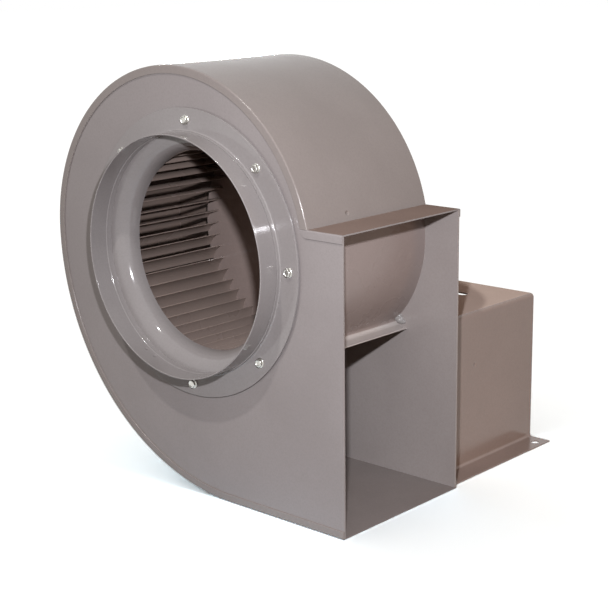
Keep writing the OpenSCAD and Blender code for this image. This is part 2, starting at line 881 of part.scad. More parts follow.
module motor_pedestal() {
    wall_in = platform_w / 2 - pedestal_t;
    color(enamel) difference() {
        union() {
            along_y(back_y, pedestal_l) both_sides() hat_half_2d();
            both_sides() translate([wall_in - front_flange_w, back_y, front_flange_low])
                cube([front_flange_w + pedestal_t / 2, pedestal_t, front_flange_high - front_flange_low]);
            translate([-wall_in + 2 * front_flange_w, back_y, platform_h - front_flange_w])
                cube([2 * wall_in - 4 * front_flange_w, pedestal_t, front_flange_w - pedestal_t / 2]);
        }
        for (sy = [-1, 1]) translate([0, block_y + sy * foot_y / 2, platform_h - pedestal_t - over])
            linear_extrude(pedestal_t + 2 * over) both_sides() slot_2d();
        for (sx = [-1, 1], sy = [-1, 1]) translate([sx * base_hole_x / 2, sy * base_hole_y / 2, -over])
            cylinder(h = pedestal_t + 2 * over, r = base_hole_d / 2);
        along_y(back_y - over, over + wrap_t + seat_gap) wrap_strip(seam_w + seat_gap);
        both_sides() translate([platform_w / 2, wall_weld_y, wall_weld_z]) rotate([0, 90, 0]) dimple();
    }
}

// A channel under the platform, between the slots, with an end plate spot-welded to each wall
brace_w = 44;
brace_leg = 24;
brace_end_w = 84;
brace_end_low = 100;
brace_end_drop = 12;

module pedestal_brace() {
    wall_in = platform_w / 2 - pedestal_t;
    top = platform_h - pedestal_t;
    end_top = top - brace_end_drop;
    end_in = wall_in - pedestal_t;
    color(enamel) translate([0, block_y, 0]) {
        difference() {
            translate([-end_in, -brace_w / 2, top - brace_leg]) cube([2 * end_in, brace_w, brace_leg]);
            translate([-wall_in, -brace_w / 2 + pedestal_t, top - brace_leg - over])
                cube([2 * wall_in, brace_w - 2 * pedestal_t, brace_leg + over - pedestal_t]);
            both_sides() translate([platform_w / 2 - bend_r, -brace_w / 2 - over, top - bend_r])
                cube([bend_r, brace_w + 2 * over, bend_r + over]);
        }
        both_sides() translate([end_in, -brace_end_w / 2, brace_end_low])
            cube([pedestal_t, brace_end_w, end_top - brace_end_low]);
    }
}

inlet_side_plate();
drive_side_plate();
scroll_wrap();
outlet_top_plate();
cutoff_plate();
inlet_bell();
inlet_flange_ring();
inlet_spigot();
inlet_screws();
motor_pedestal();
pedestal_brace();
bearing_block();
block_bolts();
block_washers();
block_nuts();
bearing_cap(barrel_y0, -1);  // front_bearing_cap
bearing_cap(barrel_y1, 1);  // rear_bearing_cap
cap_screws();
shaft_seal(barrel_y0, -1);  // front_shaft_seal
shaft_seal(barrel_y1, 1);  // rear_shaft_seal
outer_race(front_bearing_y);  // front_outer_race
outer_race(rear_bearing_y);  // rear_outer_race
wheel_back_plate();
wheel_front_ring();
wheel_blades();
wheel_hub();
hub_rivets();
hub_set_screws();
drive_shaft();
hub_key();
retaining_rings();
inner_race(front_bearing_y);  // front_inner_race
inner_race(rear_bearing_y);  // rear_inner_race
bearing_balls(front_bearing_y);  // front_bearing_balls
bearing_cage(front_bearing_y);  // front_bearing_cage
bearing_balls(rear_bearing_y);  // rear_bearing_balls
bearing_cage(rear_bearing_y);  // rear_bearing_cage
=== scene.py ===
"""Centrifugal blower: the dressed model, in metres, in the CAD model's own frame."""
import math

import bmesh
import bpy
import numpy as np
from mathutils import Matrix, Vector


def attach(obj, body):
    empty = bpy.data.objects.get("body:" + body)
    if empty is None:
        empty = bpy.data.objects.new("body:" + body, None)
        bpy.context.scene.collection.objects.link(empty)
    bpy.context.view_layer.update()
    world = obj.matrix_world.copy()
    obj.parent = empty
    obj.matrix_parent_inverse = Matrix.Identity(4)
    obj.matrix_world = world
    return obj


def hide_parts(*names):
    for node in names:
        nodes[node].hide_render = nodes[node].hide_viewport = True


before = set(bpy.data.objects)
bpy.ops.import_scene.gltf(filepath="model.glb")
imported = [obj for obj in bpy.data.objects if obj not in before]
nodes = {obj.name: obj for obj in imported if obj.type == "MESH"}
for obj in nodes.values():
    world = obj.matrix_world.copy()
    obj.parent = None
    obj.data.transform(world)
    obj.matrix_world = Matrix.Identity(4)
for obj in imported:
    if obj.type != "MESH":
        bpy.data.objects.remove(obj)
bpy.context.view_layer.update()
scene = bpy.context.scene
MM = 0.001

# Main sizes in millimetres, as in the CAD source
AXIS_H = 271.5
BACK_Y, FRONT_Y = -101.0, -293.0
OUTLET_X, OUTLET_H = 214.0, 317.5
UPPER_R, UPPER_X = 198.0, -25.0
LOWER_R, LOWER_X = 274.0, 51.0
WRAP_T, PLATE_T, SEAM_W = 1.5, 1.9, 9.0

# Room between two sheets
GAP = 0.1

# Scroll steps, and the place behind which its inner faces have painted shade, a darker grey
UPPER_STEPS, LOWER_STEPS, FLAT_STEPS = 150, 90, 8
PAINTED_SHADE_X = -60.0

# Cutoff: the panel's arc, how far it turns, the bend and the lip that droops from it
PANEL_X, PANEL_Z, PANEL_R = 32.5, 279.5, 137.0
PANEL_TURN, PANEL_STEPS = 43.5, 40
BEND_R, BEND_STEPS = 5.0, 14
LIP_DROOP, LIP_L = 9.0, 10.0

# Inlet: spun bell, flange ring and rolled collar
SPUN_T = 1.5
BELL_FLANGE_R, BELL_CENTRE_R, BELL_MOUTH = 155.5, 131.0, 21.0
BELL_DEPTH, BELL_TAIL = 19.5, 4.0
RING_R, RING_FACE, RING_NECK = 157.5, 3.4, 7.4
NECK_OUT_R, NECK_IN_R = 133.0, 131.5
COLLAR_R, COLLAR_L, JOGGLE = 132.0, 31.0, 0.6
REVOLVE_STEPS = 240

# Screws of the ring: circle, size across the hexagon, and each head's own turn in radians
SCREW_CIRCLE_R, HEX_ACROSS = 144.5, 8.0
SCREW_TURNS = [0.4, 1.0, 0.15, 0.7, 0.9, 0.3, 0.55, 0.8]

# Camera in metres and degrees, with the sensor and the focal length in millimetres
EYE = Vector((1.1067, -1.3354, 0.5837))
AZIMUTH, ELEVATION, ROLL = 42.1848, 13.6879, -0.7347
SENSOR_W, FOCAL_LENGTH = 36, 85.09
CLIP_NEAR, CLIP_FAR = 0.05, 50

# Light and floor. The floor's seen colour is above 1, so that the low light shows it white.
WORLD_LEVEL = 0.21
WORLD_TINT = (1.0, 0.74, 0.63, 1)
FLOOR_HALF = 12.0
FLOOR_SEEN = (5.2, 7.0, 8.1, 1)
FLOOR_BOUNCE = (0.72, 0.70, 0.68, 1)

# Lamps: name, place, aim and size in metres, watts, colour
LAMPS = [
    ("key", (0.72, -0.90, 0.585), (0.05, -0.22, 0.24), 0.03, 10.1, (0.95, 0.95, 1.0)),
    ("high", (0.03, -1.69, 2.63), (0.1, -0.05, 0.2), 0.10, 26.0, (1.0, 0.98, 0.95)),
    ("side", (2.2, 0.7, 0.32), (0.15, -0.1, 0.2), 0.7, 4.9, (1.0, 0.61, 0.35)),
    ("back", (-1.9, 1.6, 0.27), (0.0, -0.05, 0.25), 0.4, 40, (1.0, 0.97, 0.94)),
]


# Camera
def place_camera():
    """Looks at the blower from the right of its inlet, slightly from above."""
    data = bpy.data.cameras.new("camera")
    cam = bpy.data.objects.new("camera", data)
    scene.collection.objects.link(cam)
    turn, rise, roll = (math.radians(angle) for angle in (AZIMUTH, ELEVATION, ROLL))
    level = math.cos(rise)
    back = Vector((math.sin(turn) * level, -math.cos(turn) * level, math.sin(rise)))
    right = (-back).cross(Vector((0, 0, 1))).normalized()
    up = right.cross(-back)
    rolled_right = math.cos(roll) * right + math.sin(roll) * up
    rolled_up = -math.sin(roll) * right + math.cos(roll) * up
    pose = Matrix((rolled_right, rolled_up, back)).transposed().to_4x4()
    pose.translation = EYE
    cam.matrix_world = pose
    data.sensor_width = SENSOR_W
    data.lens = FOCAL_LENGTH
    data.clip_start, data.clip_end = CLIP_NEAR, CLIP_FAR
    scene.camera = cam


# Materials
class Nodes:
    """A short way to write a node tree."""

    def __init__(self, name):
        self.mat = bpy.data.materials.new(name)
        self.mat.use_nodes = True
        self.tree = self.mat.node_tree
        self.bsdf = self.tree.nodes["Principled BSDF"]
        self.coord = self.new("ShaderNodeTexCoord").outputs["Object"]

    def new(self, kind, **values):
        node = self.tree.nodes.new(kind)
        for key, value in values.items():
            if hasattr(node, key):
                setattr(node, key, value)
            else:
                self.put(node.inputs[key.replace("_", " ")], value)
        return node

    def put(self, socket, value):
        if isinstance(value, bpy.types.NodeSocket):
            self.tree.links.new(value, socket)
        else:
            socket.default_value = value

    def noise(self, scale, detail, rough, vector=None):
        node = self.new("ShaderNodeTexNoise", Scale=scale, Detail=detail, Roughness=rough)
        self.put(node.inputs["Vector"], vector or self.coord)
        return node.outputs["Fac"]

    def math(self, operation, first, second):
        node = self.new("ShaderNodeMath", operation=operation)
        self.put(node.inputs[0], first)
        self.put(node.inputs[1], second)
        return node.outputs[0]

    def ramp(self, value, low=0.3, high=0.7, out_low=0.0, out_high=1.0):
        node = self.new("ShaderNodeMapRange", interpolation_type="SMOOTHSTEP")
        for socket, item in zip(node.inputs, (value, low, high, out_low, out_high)):
            self.put(socket, item)
        return node.outputs["Result"]

    def mix(self, share, first, second):
        node = self.new("ShaderNodeMix", data_type="RGBA", blend_type="MIX")
        self.put(node.inputs[0], share)
        self.put(node.inputs[6], first)
        self.put(node.inputs[7], second)
        return node.outputs[2]

    def stretched(self, x, y, z):
        node = self.new("ShaderNodeMapping")
        self.put(node.inputs["Vector"], self.coord)
        node.inputs["Scale"].default_value = (x, y, z)
        return node.outputs[0]

    def specks(self, scale, size, share):
        """Small dots, one in each of a share of the cells."""
        cells = self.new("ShaderNodeTexVoronoi", feature="F1", Scale=scale, Randomness=1.0)
        self.put(cells.inputs["Vector"], self.coord)
        dot = self.ramp(cells.outputs["Distance"], size, size * 0.4)
        split = self.new("ShaderNodeSeparateColor")
        self.put(split.inputs[0], cells.outputs["Color"])
        picked = self.math("LESS_THAN", split.outputs[0], share)
        return self.math("MULTIPLY", dot, picked)

    def bump(self, height, strength, distance, normal=None):
        node = self.new("ShaderNodeBump", Strength=strength, Distance=distance, Height=height)
        if normal is not None:
            self.put(node.inputs["Normal"], normal)
        return node.outputs["Normal"]

    def dent(self, place, radius, depth, normal):
        """A round hollow at a place, all in millimetres."""
        away = self.new("ShaderNodeVectorMath", operation="DISTANCE")
        self.put(away.inputs[0], self.coord)
        away.inputs[1].default_value = [MM * value for value in place]
        height = self.ramp(away.outputs["Value"], radius * MM * 0.35, radius * MM)
        return self.bump(height, 1.0, depth * MM, normal)

    def done(self, **sockets):
        for key, value in sockets.items():
            self.put(self.bsdf.inputs[key.replace("_", " ")], value)
        return self.mat


def rgb(colour):
    """A colour as it looks on a screen, 0 to 255, turned into shader values."""
    linear = [((v / 255 + 0.055) / 1.055) ** 2.4 if v > 10 else v / 255 / 12.92 for v in colour]
    return (*linear, 1.0)


def scaled(colour, *by):
    """A shader colour times one factor, or times one each for red, green and blue."""
    factors = by if len(by) == 3 else by * 3
    return (*[value * factor for value, factor in zip(colour, factors)], 1)


def enamel(name, colour, rough=0.22, dents=(), peel=0.045, wave=0.06, shine=0.5, painted_shade=None):
    """Sprayed machine enamel: slight orange peel, a patchy tone and a few nibs in the film.

    dents: small round marks as (x, y, z, radius, depth) in millimetres.
    painted_shade: painted shade, a darker grey inside the housing, as (x where it begins,
    x where it is full, y that it stays below) in millimetres.
    """
    mat = Nodes(name)
    base = rgb(colour)
    patch = 0.05
    light = scaled(base, 1 + patch)
    dark = scaled(base, 1 - patch, 1 - 1.15 * patch, 1 - 1.2 * patch)
    tone = mat.mix(mat.ramp(mat.noise(scale=9.0, detail=4.0, rough=0.55)), dark, light)
    fine = mat.ramp(mat.noise(scale=460.0, detail=3.0, rough=0.65), 0.35, 0.75, out_high=0.24)
    tone = mat.mix(fine, tone, scaled(base, 0.74, 0.72, 0.72))
    nibs = mat.specks(scale=120.0, size=0.06, share=0.07)
    tone = mat.mix(mat.math("MULTIPLY", nibs, 0.30), tone, scaled(base, 1.7))
    # Painted shade: a darker grey on the faces deep inside the housing
    if painted_shade:
        begins, full, limit = painted_shade
        split = mat.new("ShaderNodeSeparateXYZ")
        mat.put(split.inputs[0], mat.coord)
        far = mat.ramp(split.outputs["X"], begins * MM, full * MM)
        inside = mat.math("LESS_THAN", split.outputs["Y"], limit * MM)
        tone = mat.mix(mat.math("MULTIPLY", far, inside), tone, rgb(PAINTED_SHADE_GREY))
    cloud = mat.noise(scale=14.0, detail=3.0, rough=0.6)
    gloss = mat.ramp(cloud, out_low=rough - 0.03, out_high=rough + 0.05)
    normal = mat.bump(mat.noise(scale=560.0, detail=1.5, rough=0.5), peel, 0.4 * MM)
    normal = mat.bump(mat.noise(scale=26.0, detail=2.0, rough=0.5), wave, 1.2 * MM, normal)
    for *place, radius, depth in dents:
        normal = mat.dent(place, radius, depth, normal)
    return mat.done(Base_Color=tone, Roughness=gloss, Normal=normal, IOR=1.5,
                    Specular_IOR_Level=shine)


def metal(name, colour, rough=0.26, streak=None, bump=0.05, scale=300.0):
    """Bare or plated metal with a fine grain, drawn out along an axis where streak says so."""
    mat = Nodes(name)
    base = rgb(colour)
    vector = mat.stretched(*streak) if streak else mat.coord
    grain = mat.noise(scale, detail=3.0, rough=0.6, vector=vector)
    cloud = mat.noise(scale=45.0, detail=3.0, rough=0.6)
    tone = mat.mix(mat.ramp(cloud), scaled(base, 0.92), base)
    tone = mat.mix(mat.ramp(grain, 0.35, 0.65, out_high=0.25), tone, scaled(base, 0.7))
    gloss = mat.ramp(grain, out_low=rough - 0.06, out_high=rough + 0.08)
    normal = mat.bump(grain, bump, 0.3 * MM)
    return mat.done(Base_Color=tone, Metallic=1.0, Roughness=gloss, Normal=normal)


def casting(name, colour):
    """Painted cast iron with its sand texture under the paint."""
    mat = Nodes(name)
    base = rgb(colour)
    cloud = mat.noise(scale=28.0, detail=4.0, rough=0.6)
    tone = mat.mix(mat.ramp(cloud), scaled(base, 0.85), scaled(base, 1.12))
    sand = mat.noise(scale=420.0, detail=4.0, rough=0.65)
    gloss = mat.ramp(sand, out_low=0.42, out_high=0.58)
    normal = mat.bump(sand, 0.35, 0.8 * MM)
    return mat.done(Base_Color=tone, Roughness=gloss, Normal=normal, IOR=1.5)


def rubber(name, colour):
    """Dull rubber with a fine grain."""
    mat = Nodes(name)
    base = rgb(colour)
    grain = mat.noise(scale=700.0, detail=3.0, rough=0.6)
    tone = mat.mix(mat.ramp(grain), base, scaled(base, 1.5))
    return mat.done(Base_Color=tone, Roughness=0.62, Normal=mat.bump(grain, 0.2, 0.3 * MM))


GREY = (145, 137, 133)
# Scroll sheet: painted shade, the housing grey made a little darker
WRAP_PAINTED_SHADE_GREY = tuple(0.94 * value for value in GREY)
PAINTED_SHADE_GREY = (124, 109, 101)
WRAP_DENTS = [(166.3, -230.0, 325.2, 3.4, 0.7), (168.0, -294.5, 8.4, 2.4, 0.5)]
PEDESTAL_DENTS = [(side * 179.5, -19.0, 120.0, 3.2, 0.7) for side in (1, -1)]
COLLAR_DENTS = [(-50.8, -306.1, 151.3, 2.6, 0.5), (-63.2, -306.6, 157.3, 2.4, 0.5)]
# Where the far side plate's inner face has painted shade
FAR_PAINTED_SHADE = (-70.0, -120.0, BACK_Y - 1.0)

ENAMEL = enamel("enamel", GREY)
ENAMEL_EDGE = enamel("enamel_edge", (168, 161, 156), rough=0.26)
ENAMEL_SIDE = enamel("enamel_side", (143, 137, 136), rough=0.20)
# Far side plate: painted light, a lighter copy of the housing grey, and painted shade inside at the back
ENAMEL_FAR_PAINTED_LIGHT_AND_SHADE = enamel("enamel_far_side_painted_light_and_shade", (159, 152, 149), rough=0.20, painted_shade=FAR_PAINTED_SHADE)
# Top of the outlet plate: painted shade, a darker copy of the housing grey
ENAMEL_TOP_PAINTED_SHADE = enamel("enamel_top_painted_shade", (138, 122, 114), rough=0.5, shine=0.0)
# Top of the platform: painted light, a paler copy of the housing grey
ENAMEL_PLATFORM_PAINTED_LIGHT = enamel("enamel_platform_painted_light", (208, 191, 180), rough=0.5, shine=0.0)
ENAMEL_PANEL = enamel("enamel_panel", (153, 141, 137), rough=0.26, wave=0.0, shine=0.25)
# Cutoff lip: painted highlight, a much lighter grey
ENAMEL_LIP_PAINTED_HIGHLIGHT = enamel("enamel_lip_painted_highlight", (188, 182, 178), rough=0.20)
# Painted shade: a darker grey for the inner faces at the back of the scroll
ENAMEL_INSIDE_PAINTED_SHADE = enamel("enamel_inside_painted_shade", PAINTED_SHADE_GREY, rough=0.45)
ENAMEL_WRAP = enamel("enamel_wrap", WRAP_PAINTED_SHADE_GREY, dents=WRAP_DENTS)
ENAMEL_PEDESTAL = enamel("enamel_pedestal", (152, 135, 126), dents=PEDESTAL_DENTS)
ENAMEL_INLET = enamel("enamel_inlet", (143, 139, 138), rough=0.09, dents=COLLAR_DENTS)
ENAMEL_WELD = enamel("enamel_weld", (150, 148, 146), peel=0.5)
WHEEL = enamel("wheel_enamel", (144, 129, 121), rough=0.28, peel=0.08)
WHEEL_BACK = enamel("wheel_back_enamel", (152, 137, 131), rough=0.14, peel=0.03)
WHEEL_EDGE = enamel("wheel_enamel_edge", (178, 166, 157), rough=0.30, peel=0.10)
ZINC = metal("zinc_plate", (214, 212, 206))
STEEL = metal("turned_steel", (160, 160, 160), streak=(1, 9, 1), scale=160.0)
RACE = metal("bearing_steel", (186, 186, 188), rough=0.14, bump=0.01)
IRON = casting("painted_iron", (92, 92, 93))
RUBBER = rubber("seal_rubber", (30, 30, 31))


# Mesh helpers
def add_piece(name, bm, materials, body, replaced=(), sharp=32.0):
    """Turns a bmesh in millimetres into a piece that rides on a body and stands for CAD nodes."""
    bmesh.ops.scale(bm, vec=(MM, MM, MM), verts=bm.verts)
    bmesh.ops.recalc_face_normals(bm, faces=bm.faces)
    limit = math.radians(sharp)
    for face in bm.faces:
        face.smooth = True
    for edge in bm.edges:
        edge.smooth = not (len(edge.link_faces) == 2 and edge.calc_face_angle(0) > limit)
    mesh = bpy.data.meshes.new(name)
    bm.to_mesh(mesh)
    bm.free()
    obj = bpy.data.objects.new(name, mesh)
    scene.collection.objects.link(obj)
    for material in materials:
        mesh.materials.append(material)
    normals = obj.modifiers.new("face_normals", "WEIGHTED_NORMAL")
    normals.keep_sharp = True
    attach(obj, body)
    if replaced:
        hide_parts(*replaced)
    return obj


def housing_piece(name, bm, materials, *replaced):
    """A piece of the housing in its enamel slot."""
    return add_piece(name, bm, materials, "housing", replaced)


def grid(bm, rows, closed=False):
    """Skins rows of points, each row a closed loop. Returns the rows of vertices."""
    made = [[bm.verts.new(point) for point in row] for row in rows]
    count = len(rows[0])
    last = len(made) if closed else len(made) - 1
    for i in range(last):
        here, there = made[i], made[(i + 1) % len(made)]
        for j in range(count):
            k = (j + 1) % count
            bm.faces.new((here[j], here[k], there[k], there[j]))
    if not closed:
        bm.faces.new(made[0])
        bm.faces.new(list(reversed(made[-1])))
    return made


def arc(across, along, radius, start, end, steps):
    """Points on an arc round a centre, angles in degrees."""
    angles = [math.radians(start + (end - start) * k / steps) for k in range(steps + 1)]
    return [(across + radius * math.cos(a), along + radius * math.sin(a)) for a in angles]


def revolve(name, profile, node):
    """Turns a closed outline of (radius, y) round the shaft axis."""
    bm = bmesh.new()
    rows = []
    for i in range(REVOLVE_STEPS):
        a = 2 * math.pi * i / REVOLVE_STEPS
        rows.append([(r * math.cos(a), y, AXIS_H + r * math.sin(a)) for r, y in profile])
    grid(bm, rows, closed=True)
    housing_piece(name, bm, [ENAMEL_INLET], node)


def folded_section():
    """The sheet seen along its run: (distance from the outer face, y), folded over both plates."""
    near, far = FRONT_Y - WRAP_T, BACK_Y + WRAP_T
    bend, tip, inner = 1.7, 0.55, 0.35
    points = arc(SEAM_W - tip, near + tip, tip, 0, -90, 3)
    points += arc(bend, near + bend, bend, 270, 180, 5)
    points += arc(bend, far - bend, bend, 180, 90, 5)
    points += arc(SEAM_W - tip, far - tip, tip, 90, 0, 3)
    points += [(SEAM_W, far - WRAP_T)]
    points += [(WRAP_T + inner, far - WRAP_T), (WRAP_T, far - WRAP_T - inner)]
    points += [(WRAP_T, near + WRAP_T + inner), (WRAP_T + inner, near + WRAP_T)]
    points += [(SEAM_W, near + WRAP_T)]
    return points


def dressed(node, body, materials, width, steps=2):
    """A rounded copy of a CAD node: its faces joined, its edges rounded by width millimetres."""
    join_near, join_angle, edge_angle, sharp = 0.002, 0.2, 30.0, 50.0
    bm = bmesh.new()
    bm.from_mesh(nodes[node].data)
    bmesh.ops.scale(bm, vec=(1 / MM, 1 / MM, 1 / MM), verts=bm.verts)
    bmesh.ops.remove_doubles(bm, verts=bm.verts, dist=join_near)
    bmesh.ops.dissolve_limit(bm, angle_limit=math.radians(join_angle), verts=bm.verts, edges=bm.edges)
    bmesh.ops.recalc_face_normals(bm, faces=bm.faces)
    for face in bm.faces:
        face.material_index = 0
    limit = math.radians(edge_angle)
    edges = [e for e in bm.edges if len(e.link_faces) == 2 and e.calc_face_angle(0) > limit]
    bmesh.ops.bevel(bm, geom=edges, offset=width, segments=steps, profile=0.6, affect="EDGES",
                    clamp_overlap=True, material=1 if len(materials) > 1 else 0)
    return add_piece(node + "_dressed", bm, materials, body, (node,), sharp)


# Housing
def scroll_point(stretch, t, depth):
    """A point of the scroll's outline, depth millimetres inwards, at t from 0 to 1 of a stretch."""
    if stretch == "upper":
        radius = UPPER_R - depth
        start = math.degrees(math.asin((OUTLET_H - LOWER_R) / radius))
        a = math.radians(start + (180 - start) * t)
        return UPPER_X + radius * math.cos(a), LOWER_R + radius * math.sin(a)
    if stretch == "lower":
        radius = LOWER_R - depth
        a = math.radians(180 + 90 * t)
        return LOWER_X + radius * math.cos(a), LOWER_R + radius * math.sin(a)
    return LOWER_X + (OUTLET_X - LOWER_X) * t, depth


def is_inner(point):
    """True on the inner face of the scroll sheet."""
    centre_x, radius = (UPPER_X, UPPER_R) if point.z > LOWER_R else (LOWER_X, LOWER_R)
    return math.hypot(point.x - centre_x, point.z - LOWER_R) < radius - WRAP_T / 2


def y_span(face):
    """How far a face reaches along the shaft."""
    values = [vert.co.y for vert in face.verts]
    return max(values) - min(values)


def make_wrap():
    """The scroll sheet, with painted shade, a darker grey, on its inner faces at the back."""
    stations = [("upper", k / UPPER_STEPS) for k in range(UPPER_STEPS + 1)]
    stations += [("lower", k / LOWER_STEPS) for k in range(1, LOWER_STEPS + 1)]
    stations += [("flat", k / FLAT_STEPS) for k in range(1, FLAT_STEPS + 1)]
    rows = []
    for stretch, t in stations:
        row = []
        for depth, y in folded_section():
            x, z = scroll_point(stretch, t, depth)
            row.append((x, y, z))
        rows.append(row)
    bm = bmesh.new()
    grid(bm, rows)
    wide = (BACK_Y - FRONT_Y) / 2
    # Inner faces at the back get the painted shade
    for face in bm.faces:
        behind = max(vert.co.x for vert in face.verts) < PAINTED_SHADE_X
        if behind and len(face.verts) == 4 and y_span(face) > wide:
            face.material_index = int(is_inner(face.calc_center_median()))
    housing_piece("scroll_wrap_sheet", bm, [ENAMEL_WRAP, ENAMEL_INSIDE_PAINTED_SHADE], "scroll_wrap")


def make_top_plate():
    """The plate over the outlet. Its folded edges begin in a quarter circle at the scroll."""
    section = folded_section()
    flat = WRAP_T + 0.4
    rise = OUTLET_H - LOWER_R
    start = UPPER_X + math.sqrt((UPPER_R - SEAM_W) ** 2 - rise ** 2) + GAP
    steps, after, straight_rows = 12, 6, 5
    rows = []
    for k in range(1, steps + 1):
        a = math.radians(90 * k / steps)
        x = start + SEAM_W * (1 - math.cos(a))
        low = max(SEAM_W * math.sin(a), flat)
        rows.append([(x, y, OUTLET_H - (u if u <= flat else min(u, low))) for u, y in section])
    for x in np.linspace(start + SEAM_W + after, OUTLET_X, straight_rows):
        rows.append([(x, y, OUTLET_H - u) for u, y in section])
    bm = bmesh.new()
    grid(bm, rows)
    # The upper faces take the painted shade, the folded strips the side plate's grey
    for face in bm.faces:
        folded = y_span(face) < 1
        if folded or face.calc_center_median().z < OUTLET_H - 1:
            face.material_index = 1
    housing_piece("outlet_top_sheet", bm, [ENAMEL_TOP_PAINTED_SHADE, ENAMEL_SIDE], "outlet_top_plate")


def make_cutoff():
    """The curved panel in the outlet, its bend and its lip, as one sheet."""
    turn, droop = math.radians(PANEL_TURN), math.radians(-LIP_DROOP)
    top = math.degrees(math.asin((OUTLET_H - WRAP_T - GAP - PANEL_Z) / PANEL_R))
    bend_x = PANEL_X + (PANEL_R + BEND_R) * math.cos(turn)
    bend_z = PANEL_Z - (PANEL_R + BEND_R) * math.sin(turn)
    start, end = 180 - PANEL_TURN, 270 - LIP_DROOP
    front = arc(PANEL_X, PANEL_Z, PANEL_R, top, -PANEL_TURN, PANEL_STEPS)
    front += arc(bend_x, bend_z, BEND_R, start, end, BEND_STEPS)[1:]
    back = arc(bend_x, bend_z, BEND_R + WRAP_T, end, start, BEND_STEPS)
    back += arc(PANEL_X, PANEL_Z, PANEL_R - WRAP_T, -PANEL_TURN, top, PANEL_STEPS)[1:]
    along_x, along_z = math.cos(droop), math.sin(droop)
    last_x, last_z = front[-1]
    half = WRAP_T / 2
    tip_x = last_x + along_x * LIP_L + along_z * half
    tip_z = last_z + along_z * LIP_L - along_x * half
    nose = arc(tip_x, tip_z, half, 90 - LIP_DROOP, -90 - LIP_DROOP, 6)
    outline = front + nose + back
    near, far = FRONT_Y + PLATE_T + GAP, BACK_Y - PLATE_T - GAP
    rows = [[(x, y, z) for x, z in outline] for y in np.linspace(near, far, 5)]
    bm = bmesh.new()
    made = grid(bm, rows)
    panel_share = 5  # steps of the bend that are finished like the panel
    first = PANEL_STEPS + 1 + panel_share
    last = len(front) + len(nose)
    # The lip's faces take the painted highlight
    lip_verts = {vert for row in made for vert in row[first:last]}
    for face in bm.faces:
        if len(face.verts) == 4 and all(vert in lip_verts for vert in face.verts):
            face.material_index = 1
    housing_piece("cutoff_sheet", bm, [ENAMEL_PANEL, ENAMEL_LIP_PAINTED_HIGHLIGHT], "cutoff_plate")


def make_bell():
    """The spun bell: its flange on the side plate, its round mouth and a short straight tail."""
    edge, soft = 0.3, 0.4
    front = FRONT_Y - SPUN_T
    centre_y = FRONT_Y + BELL_DEPTH
    throat = BELL_CENTRE_R - BELL_MOUTH
    end = centre_y + BELL_TAIL
    outline = [(BELL_FLANGE_R, FRONT_Y), (BELL_FLANGE_R, front + edge)]
    outline += [(BELL_FLANGE_R - edge, front), (BELL_CENTRE_R + soft, front)]
    outline += arc(BELL_CENTRE_R, centre_y, BELL_MOUTH, 270, 180, 26)
    outline += [(throat, end - soft), (throat + edge, end)]
    outline += [(throat + SPUN_T - edge, end), (throat + SPUN_T, end - soft)]
    outline += arc(BELL_CENTRE_R, centre_y, BELL_MOUTH - SPUN_T, 180, 270, 22)
    revolve("inlet_bell_spun", outline, "inlet_bell")


def make_flange_ring():
    """The flat ring over the bell's flange, with its neck round the collar."""
    behind = FRONT_Y - SPUN_T
    face = FRONT_Y - RING_FACE
    neck = FRONT_Y - RING_NECK
    outline = [(RING_R, behind), (RING_R, face + 0.6), (RING_R - 0.2, face + 0.15), (RING_R - 0.6, face)]
    outline += arc(NECK_OUT_R + SPUN_T, face - SPUN_T, SPUN_T, 90, 180, 6)
    outline += [(NECK_OUT_R, neck + 0.4), (NECK_OUT_R - 0.13, neck + 0.1), (NECK_OUT_R - 0.4, neck)]
    outline += [(NECK_IN_R + 0.3, neck), (NECK_IN_R + 0.05, neck + 0.25), (NECK_IN_R, behind)]
    revolve("inlet_flange_spun", outline, "inlet_flange_ring")


def make_collar():
    """The rolled collar, narrower by the joggle where it sits in the ring's neck."""
    behind = FRONT_Y - SPUN_T
    rim = FRONT_Y - COLLAR_L
    step = FRONT_Y - RING_NECK - GAP
    lip = 0.7
    narrow = COLLAR_R - JOGGLE
    bore = COLLAR_R - SPUN_T
    narrow_bore = narrow - SPUN_T
    outline = [(narrow, behind), (narrow, step + 0.3), (narrow + 0.1, step + 0.08)]
    outline += [(COLLAR_R - 0.2, step - 0.05), (COLLAR_R - 0.02, step - 0.4), (COLLAR_R, step - 0.9)]
    outline += arc(COLLAR_R - lip, rim + lip, lip, 0, -90, 4)
    outline += arc(bore + lip, rim + lip, lip, 270, 180, 4)
    outline += [(bore, step - 1.6), (bore - 0.1, step - 1.2), (narrow_bore + 0.1, step - 0.8)]
    outline += [(narrow_bore, step - 0.3), (narrow_bore, behind)]
    revolve("inlet_spigot_rolled", outline, "inlet_spigot")


def screw_mesh(bm, turn):
    """A hexagon head with a fixed washer and a hollow top, standing on the plane z = 0."""
    steps = 48
    profile = [("round", 4.9, -0.3), ("round", 5.2, 0.1), ("round", 5.2, 0.5), ("round", 5.0, 0.75),
               ("round", 4.7, 0.9), ("hex", 5.2, 1.0), ("hex", 5.2, 3.1), ("hex", 4.15, 3.45),
               ("round", 3.75, 3.8), ("round", 3.1, 3.9), ("round", 2.8, 3.6), ("round", 2.5, 3.35),
               ("round", 0.6, 3.3)]
    rows = []
    for kind, radius, z in profile:
        row = []
        for k in range(steps):
            a = 2 * math.pi * k / steps
            from_flat = math.radians(math.degrees(a) % 60 - 30)
            hexagon = HEX_ACROSS / 2 / math.cos(from_flat)
            r = min(hexagon, radius) if kind == "hex" else radius
            row.append(Vector((r * math.cos(a + turn), r * math.sin(a + turn), z)))
        rows.append(row)
    grid(bm, rows)


